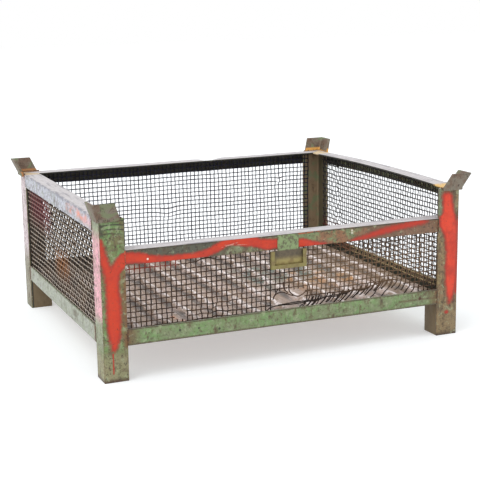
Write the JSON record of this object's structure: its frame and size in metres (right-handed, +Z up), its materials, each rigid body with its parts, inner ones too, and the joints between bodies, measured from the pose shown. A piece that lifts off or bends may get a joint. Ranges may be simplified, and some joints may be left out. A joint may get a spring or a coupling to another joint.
{
  "type": "wire mesh container",
  "caption": "Low rectangular stacking container: welded steel angle frame, box feet, leaning corner ears, corrugated floor, woven wire mesh sides and a lowered front rail with a card holder.",
  "frame": {"origin": "on the ground under the middle of the container", "axes": "+X to the right along the front side, +Y from the low front side to the back, +Z up"},
  "size_m": [1.256, 1.056, 0.536],
  "materials": {
    "green_paint": "sage green enamel, scuffed and rust spotted, with sprayed red stripes",
    "worn_steel": "paint worn off to dull brown-grey steel",
    "rusty_sheet": "dull grey-brown sheet with light rust and scrapes",
    "dark_wire": "dark brown oxidised steel wire",
    "olive_sheet": "dull olive yellow enamel, dirty"
  },
  "bodies": {
    "root": {"post_front_left": "green_paint", "foot_angle_front_left": "green_paint", "foot_sole_front_left": "worn_steel", "stacking_ear_front_left": "worn_steel", "post_front_right": "green_paint", "foot_angle_front_right": "green_paint", "foot_sole_front_right": "worn_steel", "stacking_ear_front_right": "worn_steel", "post_back_right": "green_paint", "foot_angle_back_right": "green_paint", "foot_sole_back_right": "worn_steel", "stacking_ear_back_right": "worn_steel", "post_back_left": "green_paint", "foot_angle_back_left": "green_paint", "foot_sole_back_left": "worn_steel", "stacking_ear_back_left": "worn_steel", "top_rail_front": "green_paint", "bottom_rail_front": "green_paint", "mesh_panel_front": "dark_wire", "top_rail_right": "green_paint", "bottom_rail_right": "green_paint", "mesh_panel_right": "dark_wire", "top_rail_back": "green_paint", "bottom_rail_back": "green_paint", "mesh_panel_back": "dark_wire", "top_rail_left": "green_paint", "bottom_rail_left": "green_paint", "mesh_panel_left": "dark_wire", "corrugated_floor": "rusty_sheet", "card_hanger_plate": "green_paint", "card_pocket": "olive_sheet"}
  },
  "joints": []
}
